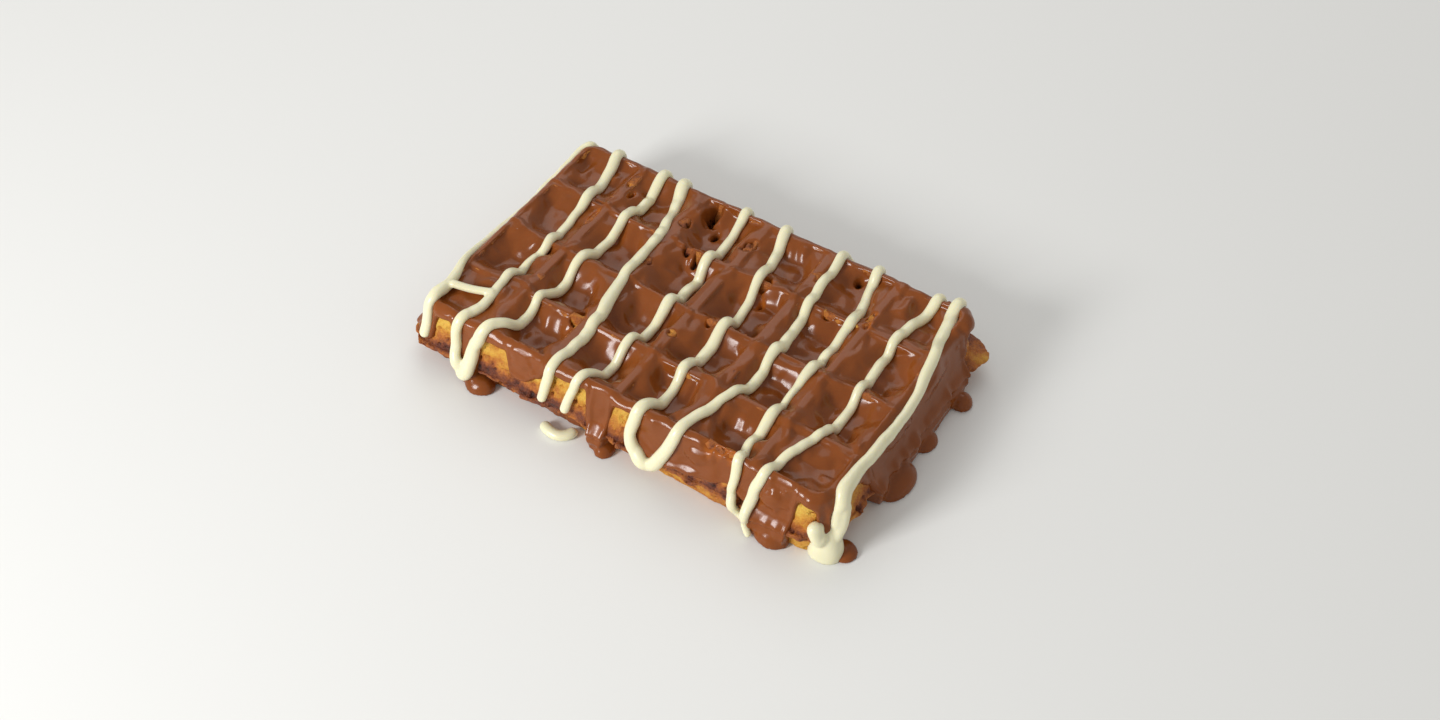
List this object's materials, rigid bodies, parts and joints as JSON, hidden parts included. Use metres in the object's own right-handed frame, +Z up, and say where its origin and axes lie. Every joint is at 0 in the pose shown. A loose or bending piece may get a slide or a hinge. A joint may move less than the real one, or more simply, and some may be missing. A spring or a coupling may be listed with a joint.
{
  "type": "waffle with chocolate sauce",
  "caption": "Thick rectangular waffle with deep square pockets, under milk chocolate sauce and a zigzag of white chocolate.",
  "frame": {"origin": "the crossing of ridges at the middle of the underside, on the surface that the waffle stands on", "axes": "+X along the length, -Y to the front, +Z up through the pockets that hold the sauce"},
  "size_m": [0.1917, 0.1245, 0.0312],
  "materials": {
    "waffle_crust": "baked golden crust, matt",
    "milk_chocolate": "wet and glossy",
    "white_chocolate": "soft gloss"
  },
  "bodies": {
    "root": {"waffle": "waffle_crust", "chocolate_sauce": "milk_chocolate"}
  },
  "joints": []
}
